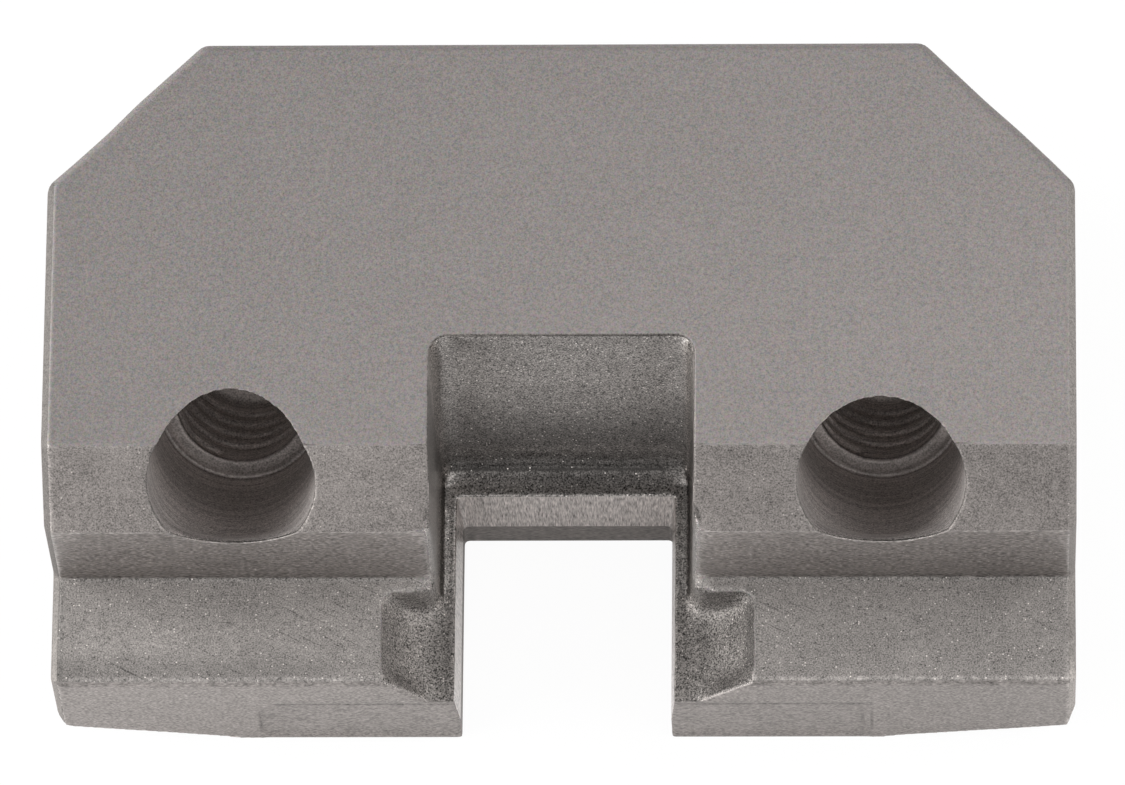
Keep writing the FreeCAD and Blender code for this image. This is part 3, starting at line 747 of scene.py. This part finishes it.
# noise of each size, about zero
uneven = {}
for name, where, scale, detail in (
        ("fine", run, grain_scale, 1.0), ("middle", run, 1 / MIDDLE_SIZE, 2.0),
        ("patch", mm, 1 / PATCH_SIZE, 3.0), ("broad", mm, 1 / BROAD_SIZE, 2.0),
        ("break", mm, 1 / BREAK_SIZE, 3.0), ("pit", mm, 1 / PIT_SIZE, 1.0)):
    field = add(recipe, "ShaderNodeTexNoise", {
        "Vector": where, "Scale": scale, "Detail": detail, "Roughness": 0.6})
    uneven[name] = add(recipe, MATH, {0: field, 1: 0.5}, operation="SUBTRACT")

# grain and mottling
grainy = add(recipe, MATH, {
    0: uneven["middle"], 1: MIDDLE_SHARE, 2: uneven["fine"]}, operation="MULTIPLY_ADD")
patchy = add(recipe, MATH, {0: uneven["patch"], 1: uneven["broad"]})
tone = add(recipe, MATH, {0: grainy, 1: given["Contrast"], 2: 1.0}, operation="MULTIPLY_ADD")
tone = add(recipe, MATH, {0: patchy, 1: given["Mottle"], 2: tone}, operation="MULTIPLY_ADD")

# painted light and shade: the steel is lighter or darker from left to right and towards the back, as the
# lamps fall
split = add(recipe, "ShaderNodeSeparateXYZ", {0: mm})
painted_side_shade = add(recipe, "ShaderNodeMapRange", {
    "Value": split.outputs["X"], "From Min": -END_X, "From Max": END_X, "To Min": given["Left Shade"],
    "To Max": given["Right Shade"]})
back = add(recipe, "ShaderNodeMapRange", {
    "Value": split.outputs["Y"], "From Min": 0.0, "From Max": 12.0, "To Min": 1.0,
    "To Max": given["Back Shade"]})
noted_shade = add(recipe, "ShaderNodeAttribute", attribute_name="shade")
for factor in (painted_side_shade, back, noted_shade.outputs["Fac"]):
    tone = add(recipe, MATH, {0: tone, 1: factor}, operation="MULTIPLY")
print("noises:", list(uneven))

# %% [markdown]
# ## Marks in the steel
#
# Tools and wear leave marks: rings in a bored hole, slanting scratches, worn edges and pits. Light and shade
# are painted in too: glints of single crystals, the shadow line under the step where a second grinding
# stopped, a highlight on worn edges and shade in corners. Each is a mask between 0 and 1, cut out of a noise
# or out of a note on the skin, and each finish says how much of it shows.

# %% The steel recipe: marks
RINGS_PER_MM, RING_WANDER = 5.0, 0.12  # how close the boring rings lie, and how far they stray
GLINT_CELL = 0.11  # mm between crystals that may glint
SCRATCH_TURN = math.radians(28)
SCRATCH_STRETCH = (0.5, 14, 1)  # long and thin
LINE_HALF_WIDTH = 0.12  # mm
DARKEST = 0.15  # the least share of its brightness that a marked spot keeps

# rings of the boring tool, square to the hole axis
along = add(recipe, VECTOR_MATH, {0: mm, 1: AXIS}, operation="DOT_PRODUCT")
turned = add(recipe, MATH, {0: along.outputs["Value"], 1: RINGS_PER_MM}, operation="MULTIPLY")
turned = add(recipe, "ShaderNodeCombineXYZ", {"X": turned})
turned = add(recipe, VECTOR_MATH, {
    0: mm, 1: (RING_WANDER, RING_WANDER, RING_WANDER), 2: turned}, operation="MULTIPLY_ADD")
field = add(recipe, "ShaderNodeTexNoise", {"Vector": turned, "Scale": 1.0, "Detail": 3.0})
field = add(recipe, MATH, {0: field, 1: 0.5}, operation="SUBTRACT")
off_ring = add(recipe, MATH, {0: field}, operation="ABSOLUTE")

# painted glints: one crystal in many catches the light
cells = add(recipe, "ShaderNodeTexVoronoi", {"Vector": mm, "Scale": 1 / GLINT_CELL}, feature="F1")
luck = add(recipe, "ShaderNodeSeparateXYZ", {0: cells.outputs["Color"]})
unlucky = add(recipe, MATH, {0: 1.0, 1: given["Glint Share"]}, operation="SUBTRACT")
lucky = add(recipe, MATH, {0: luck, 1: unlucky}, operation="GREATER_THAN")

# scratches run slantwise: noise that is drawn out along them
slant = add(recipe, "ShaderNodeVectorRotate", {"Vector": mm, "Angle": SCRATCH_TURN}, rotation_type="Z_AXIS")
slant = add(recipe, VECTOR_MATH, {0: slant, 1: SCRATCH_STRETCH}, operation="MULTIPLY")
drawn_out = add(recipe, "ShaderNodeTexNoise", {"Vector": slant, "Scale": 1.0, "Detail": 1.0})

# the thin painted shadow line under the step that a second grinding leaves at its upper end
off_line = add(recipe, MATH, {0: split.outputs["Z"], 1: given["Outline Height"]}, operation="SUBTRACT")
off_line = add(recipe, MATH, {0: off_line}, operation="ABSOLUTE")

# each mask is a field times a gain plus an offset, held between 0 and 1
edge_note = add(recipe, "ShaderNodeAttribute", attribute_name="edge").outputs["Fac"]
masks = {}
for name, field, gain, offset in (
        ("ring", off_ring, -12.0, 1.0), ("line", off_line, -1 / LINE_HALF_WIDTH, 1.0),
        ("proud", edge_note, 1.2, -0.3), ("sunk", edge_note, -1.0, -0.1),
        ("broken", uneven["break"], 4.0, 0.35), ("pitted", uneven["pit"], 9.0, -1.1),
        ("close", cells.outputs["Distance"], -6.0, 1.9),
        ("scratch", drawn_out, 12.0, -7.5), ("much used", uneven["broad"], 9.0, 0.1)):
    masks[name] = add(recipe, MATH, {
        0: field, 1: gain, 2: offset}, operation="MULTIPLY_ADD", use_clamp=True)

# worn edges, part wear and part painted highlight, are broken up, so that they don't read as a drawn line,
# and scratches lie where sheet slid most
worn = add(recipe, MATH, {0: masks["proud"], 1: masks["broken"]}, operation="MULTIPLY")
glint = add(recipe, MATH, {0: lucky, 1: masks["close"]}, operation="MULTIPLY")
scratched = add(recipe, MATH, {0: masks["scratch"], 1: masks["much used"]}, operation="MULTIPLY")

# the marks brighten or darken the steel; the outline, the glints, the edges' highlight and the corner
# shade among them are painted light and shade
for mark, amount, sign in (
        (masks["line"], "Outline", -1), (masks["ring"], "Rings", 1), (worn, "Wear And Highlight", 1), (glint, "Glint", 1),
        (masks["sunk"], "Corner Shade", -1), (masks["pitted"], "Pits", -1), (scratched, "Scratches", -1)):
    much = add(recipe, MATH, {0: mark, 1: given[amount]}, operation="MULTIPLY")
    tone = add(recipe, MATH, {0: much, 1: sign, 2: tone}, operation="MULTIPLY_ADD")
tone = add(recipe, MATH, {0: tone, 1: DARKEST}, operation="MAXIMUM")
print("masks:", list(masks))

# %% [markdown]
# ## Colour, roughness and relief
#
# The tone and a tint that drifts as temper colours do make the colour. The grain makes the roughness uneven
# and gives the bump, and worn steel is a little smoother.

# %% The steel recipe: what it gives
TINT_SIZE = 0.12  # mm
GRAIN_IN_ROUGHNESS, WEAR_IN_ROUGHNESS = 0.3, -0.15

tinted = add(recipe, "ShaderNodeTexNoise", {"Vector": mm, "Scale": 1 / TINT_SIZE, "Detail": 2.0})
tinted = add(recipe, VECTOR_MATH, {0: tinted.outputs["Color"], 1: (0.5, 0.5, 0.5)}, operation="SUBTRACT")
tinted = add(recipe, VECTOR_MATH, {0: tinted, "Scale": given["Tint"]}, operation="SCALE")
colour = add(recipe, VECTOR_MATH, {0: given["Colour"], "Scale": tone}, operation="SCALE")
colour = add(recipe, VECTOR_MATH, {0: colour, 1: tinted}, operation="ADD")
duller = add(recipe, MATH, {
    0: uneven["fine"], 1: GRAIN_IN_ROUGHNESS, 2: given["Roughness"]}, operation="MULTIPLY_ADD")
duller = add(recipe, MATH, {0: worn, 1: WEAR_IN_ROUGHNESS, 2: duller}, operation="MULTIPLY_ADD")
lift = add(recipe, MATH, {0: given["Relief"], 1: MM}, operation="MULTIPLY")
bump = add(recipe, "ShaderNodeBump", {"Height": uneven["fine"], "Distance": lift})
for made, socket in ((colour, "Colour"), (duller, "Roughness"), (bump, "Normal")):
    recipe.links.new(made.outputs[0], result[socket])
print("steel recipe:", len(recipe.nodes), "nodes")

# %% [markdown]
# ## The finishes
#
# Each finish is one material: the recipe with its own settings. The names say how the surface was made,
# and the comments say what that gives the eye.

# %% Finishes
# Left, Right and Back Shade paint light and shade across the block, as the lamps fall
FINISHES = {
    # lapped flat on cast iron: matt and even, with a faint drift of colour
    "top": ("lapped_tool_steel", {
        "Colour": linear("#979290"), "Roughness": 0.8, "Grain": 0.06, "Contrast": 1.17, "Mottle": 0.06,
        "Relief": 0.001, "Tint": 0.11, "Wear And Highlight": 0.1, "Left Shade": 0.83, "Right Shade": 0.95,
        "Back Shade": 0.95}),
    # blasted with grit after hardening: coarse, mottled and dull, with a few glints
    "slope": ("blasted_tool_steel", {
        "Colour": linear("#888380"), "Roughness": 0.62, "Contrast": 2.2, "Mottle": 0.46, "Glint": 1.0,
        "Glint Share": 0.03, "Pits": 0.2, "Wear And Highlight": 0.5, "Left Shade": 0.98, "Right Shade": 0.88}),
    # milled along its length: fine lines from left to right
    "seat_wall": ("milled_tool_steel", {
        "Colour": linear("#938E8B"), "Contrast": 2.3, "Mottle": 0.12, "Run": (0.35, 1, 1), "Glint": 0.8,
        "Tint": 0.03, "Left Shade": 1.03}),
    # blasted, and scratched by the sheet that slides over it: pits, dark slanting lines and many glints
    "ledge": ("scratched_blasted_steel", {
        "Colour": linear("#95918E"), "Roughness": 0.75, "Grain": 0.06, "Contrast": 2.4, "Mottle": 0.32,
        "Glint": 1.4, "Glint Share": 0.08, "Pits": 0.35, "Scratches": 0.32, "Wear And Highlight": 1.6, "Left Shade": 0.99,
        "Right Shade": 0.89}),
    # ground along the front: finer and more even than the ledge above it
    "front": ("ground_tool_steel", {
        "Colour": linear("#908B88"), "Roughness": 0.65, "Contrast": 2.1, "Mottle": 0.14, "Relief": 0.002,
        "Run": (0.5, 1, 1), "Glint": 0.4, "Wear And Highlight": 1.8, "Left Shade": 1.05, "Right Shade": 0.95}),
    # ground once more when the die was sharpened: the same lines, fresher, and a painted shadow line at its
    # top
    "ground": ("sharpened_tool_steel", {
        "Colour": linear("#8E8986"), "Roughness": 0.6, "Contrast": 1.95, "Mottle": 0.1, "Relief": 0.002,
        "Run": (0.5, 1, 1), "Outline Height": 3.69, "Outline": 0.4, "Left Shade": 1.06, "Right Shade": 0.94}),
    # left as the investment casting came out: lumpy and glittering
    "hollow": ("cast_tool_steel", {
        "Colour": linear("#8A8683"), "Roughness": 0.38, "Contrast": 4.2, "Mottle": 0.16, "Relief": 0.006,
        "Glint": 3.0, "Glint Share": 0.09, "Pits": 0.2, "Wear And Highlight": 0.0, "Corner Shade": 0.0}),
    # cast too, and dulled by the slugs that slide out over it: the same grain, less bright
    "scoop": ("dulled_cast_steel", {
        "Colour": linear("#807C79"), "Roughness": 0.65, "Contrast": 4.4, "Mottle": 0.2, "Relief": 0.004,
        "Glint": 2.0, "Glint Share": 0.1, "Pits": 0.2, "Wear And Highlight": 0.0, "Corner Shade": 0.6}),
    # cut by a wire and a spark: upright lines; the pale colour is a painted reflection of the white table
    # seen through the notch
    "relief": ("eroded_tool_steel", {
        "Colour": linear("#B9B3B0"), "Grain": 0.06, "Contrast": 2.2, "Relief": 0.002,
        "Run": (1.2, 1, 0.03)}),
    # the same on the sides, smoother, where it mirrors the lamps; its very pale colour is a painted
    # reflection
    "relief_side": ("eroded_bright_steel", {
        "Colour": linear("#DCD6D3"), "Roughness": 0.3, "Grain": 0.08, "Contrast": 1.3, "Relief": 0.002,
        "Run": (1, 1, 0.12)}),
    # the narrow band that cuts: ground, and darker than the relief above it: a painted reflection of the
    # table's shadow at the die's foot
    "land": ("ground_land_steel", {
        "Colour": linear("#827D7A"), "Grain": 0.07, "Contrast": 2.1, "Relief": 0.002, "Run": (0.3, 1, 1)}),
    # bored and tapped: rings round the hole; the pale colour is painted light that lifts the shade inside the
    # hole
    "bore": ("bored_tool_steel", {
        "Colour": linear("#B5AFAC"), "Roughness": 0.65, "Grain": 0.07, "Contrast": 2.2, "Relief": 0.002,
        "Rings": 0.35}),
    # edges broken with a stone: dull narrow bands at the ends, with painted shade on the left and painted
    # light on the right, as the lamps fall
    "end": ("stoned_end_steel", {
        "Colour": linear("#7A7673"), "Roughness": 0.75, "Grain": 0.07, "Contrast": 1.8, "Wear And Highlight": 0.1,
        "Left Shade": 0.7, "Right Shade": 1.2}),
    # the rims of the pocket and of the holes, broken by hand: thin, and painted dark as shade so that no rim
    # shows a highlight
    "rim": ("stoned_rim_steel", {
        "Colour": linear("#6E6A67"), "Roughness": 0.6, "Grain": 0.07, "Contrast": 2.6}),
}
die.data.materials.clear()
for name in ZONES:
    material_name, settings = FINISHES[name]
    material = bpy.data.materials.new(material_name)
    material.use_nodes = True
    tree = material.node_tree
    shader = tree.nodes["Principled BSDF"]
    shader.inputs["Metallic"].default_value = 1.0
    finish = add(tree, "ShaderNodeGroup", node_tree=recipe)
    for setting, value in settings.items():
        finish.inputs[setting].default_value = value
    for made, socket in (("Colour", "Base Color"), ("Roughness", "Roughness"), ("Normal", "Normal")):
        tree.links.new(finish.outputs[made], shader.inputs[socket])
    die.data.materials.append(material)
print("finishes:", [material.name for material in die.data.materials])

# %% [markdown]
# ## Laying the finishes on
#
# Each triangle takes the finish of the zone that its middle lies in. All are shaded smooth, except on the
# lapped top, which is truly flat and mustn't take shading from its rims.

# %% Each triangle gets its finish
LEVEL = 0.9999  # how straight up a triangle of the lapped top faces

faces = die.data.polygons
centres = np.empty(len(faces) * 3, dtype=np.float32)
facings = np.empty(len(faces) * 3, dtype=np.float32)
faces.foreach_get("center", centres)
faces.foreach_get("normal", facings)
kinds = zone_of(centres.reshape(-1, 3).astype(np.float64) / MM)
faces.foreach_set("material_index", kinds)
lapped = (kinds == KIND["top"]) & (facings.reshape(-1, 3)[:, 2] > LEVEL)
faces.foreach_set("use_smooth", ~lapped)
print("triangles of each finish:", {name: int((kinds == kind).sum()) for name, kind in KIND.items()})

# %% [markdown]
# ## Lamps
#
# The photograph was lit by large soft boxes: a strong low one on the left, two on the right, and weak ones
# high on the left, in front and behind. Their powers were found by rendering each alone and comparing the
# faces' brightness with the photograph.

# %% Soft boxes
LAMP_DISTANCE = 0.5  # m
LAMPS = {  # degrees round from the right, degrees up from the table, watts, and width and height in m
    "left_box": (180, 17, 5.9, 0.6, 0.28), "high_left_box": (180, 45, 0.65, 0.5, 0.3),
    "right_box": (0, 17, 1.75, 0.6, 0.28), "high_right_box": (0, 48, 1.5, 0.5, 0.3),
    "front_box": (270, 50, 0.7, 0.5, 0.3), "front_left_box": (225, 20, 0.33, 0.4, 0.25),
    "back_box": (90, 50, 0.2, 0.5, 0.3)}
for name, (turned_by, raised_by, power, width, tall) in LAMPS.items():
    a, e = math.radians(turned_by), math.radians(raised_by)
    direction = Vector((math.cos(a) * math.cos(e), math.sin(a) * math.cos(e), math.sin(e)))
    lamp = bpy.data.objects.new(name, bpy.data.lights.new(name, "AREA"))
    lamp.data.shape = "RECTANGLE"
    lamp.data.size, lamp.data.size_y = width, tall
    lamp.data.energy = power
    lamp.location = direction * LAMP_DISTANCE
    lamp.rotation_euler = direction.to_track_quat("Z", "Y").to_euler()
    scene.collection.objects.link(lamp)
print("soft boxes:", len(LAMPS), "power in all, W:", round(sum(v[2] for v in LAMPS.values()), 2))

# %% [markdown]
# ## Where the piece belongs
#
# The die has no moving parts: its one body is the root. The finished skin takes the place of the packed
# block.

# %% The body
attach(die, "root")
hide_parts("die_body")
print("piece:", die.name, "in place of die_body")
